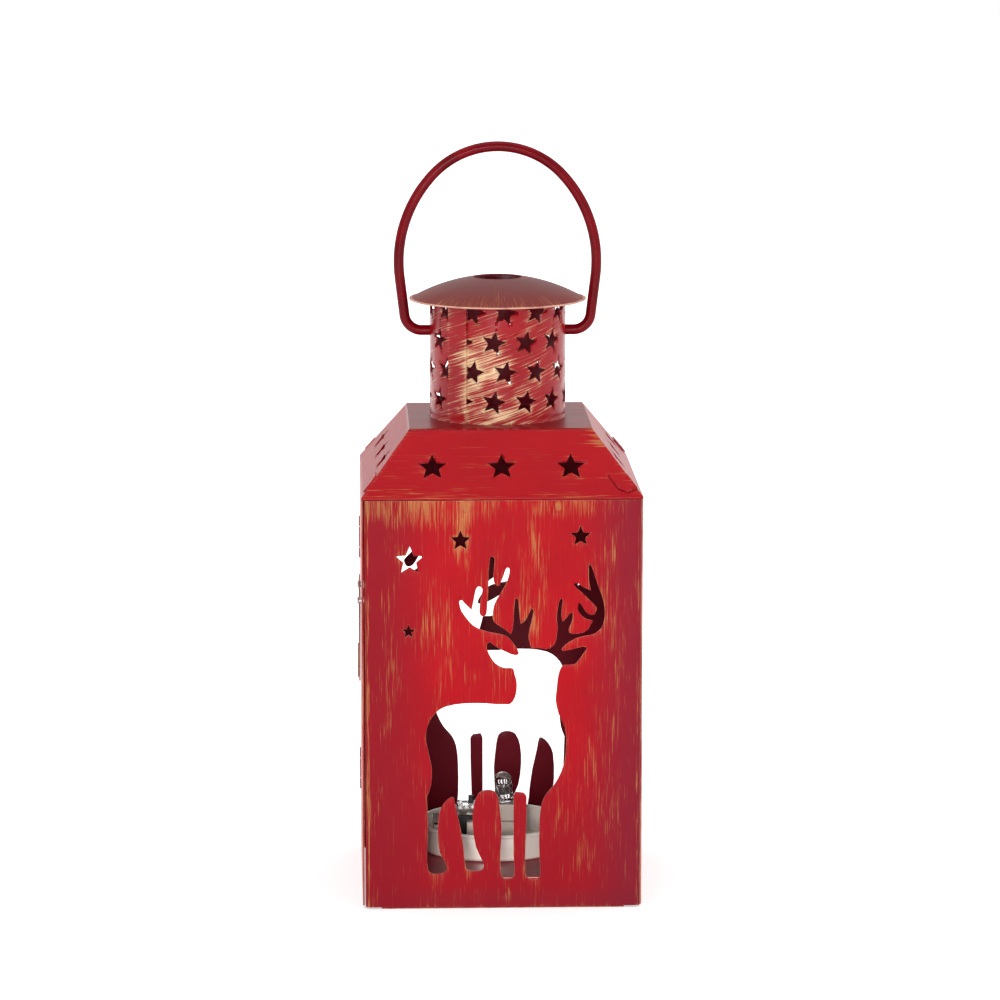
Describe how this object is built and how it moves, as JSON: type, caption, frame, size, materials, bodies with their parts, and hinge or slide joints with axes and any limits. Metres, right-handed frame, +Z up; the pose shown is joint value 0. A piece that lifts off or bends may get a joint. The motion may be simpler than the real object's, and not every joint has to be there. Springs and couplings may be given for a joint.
{
  "type": "led lantern",
  "caption": "Square tin lantern with a stag cut-out front and back, a star-pierced chimney, a bail handle, a hinged door and a battery light in a tin cup.",
  "frame": {"origin": "middle of the base at table level", "axes": "+Z up, -Y to the front wall with the stag, +X to the viewer's right; the door is on the -X side"},
  "size_m": [0.0814, 0.08, 0.2171],
  "materials": {
    "red_enamel": "satin red enamel, dry-brushed with gold",
    "bail_enamel": "glossy red enamel",
    "bright_tin": "polished",
    "pin_steel": "satin",
    "light_plastic": "satin",
    "board_green": "satin",
    "black_plastic": "satin",
    "gold_contact": "polished",
    "cell_steel": "polished",
    "clear_resin": "gloss",
    "switch_metal": "polished"
  },
  "bodies": {
    "lantern": {"base_pan": "red_enamel", "front_wall": "red_enamel", "back_wall": "red_enamel", "right_wall": "red_enamel", "roof": "red_enamel", "chimney_tube": "red_enamel", "cap": "red_enamel", "hinge_pins": "pin_steel", "latch_stud": "pin_steel", "light_cup": "bright_tin", "cup_rivets": "pin_steel", "circuit_board": "board_green", "battery_box": "light_plastic", "battery_lid": "light_plastic", "button_cells": "cell_steel", "battery_contacts": "gold_contact", "light_holder": "light_plastic", "led_capsule": "clear_resin", "led_leads": "cell_steel", "switch_base": "black_plastic", "switch_frame": "switch_metal"},
    "door": {"side_door": "red_enamel", "latch_rivet": "pin_steel"},
    "latch": {"door_latch": "red_enamel"},
    "bail": {"bail_handle": "bail_enamel"},
    "switch": {"switch_slider": "black_plastic"}
  },
  "joints": [
    {"name": "bail_swing", "type": "hinge", "parent": "lantern", "child": "bail", "pos_m": [0, 0, 0.1623], "axis": [1, 0, 0], "range_deg": [-129, 129]},
    {"name": "door_swing", "type": "hinge", "parent": "lantern", "child": "door", "pos_m": [-0.0392, 0.03805, 0.05965], "axis": [0, 0, -1], "range_deg": [0, 150]},
    {"name": "latch_turn", "type": "hinge", "parent": "door", "child": "latch", "pos_m": [-0.0405, -0.0105, 0.0895], "axis": [-1, 0, 0], "range_deg": [0, 90]},
    {"name": "switch_slide", "type": "slide", "parent": "lantern", "child": "switch", "axis": [-1, 0, 0], "range_m": [0, 0.0018]}
  ]
}
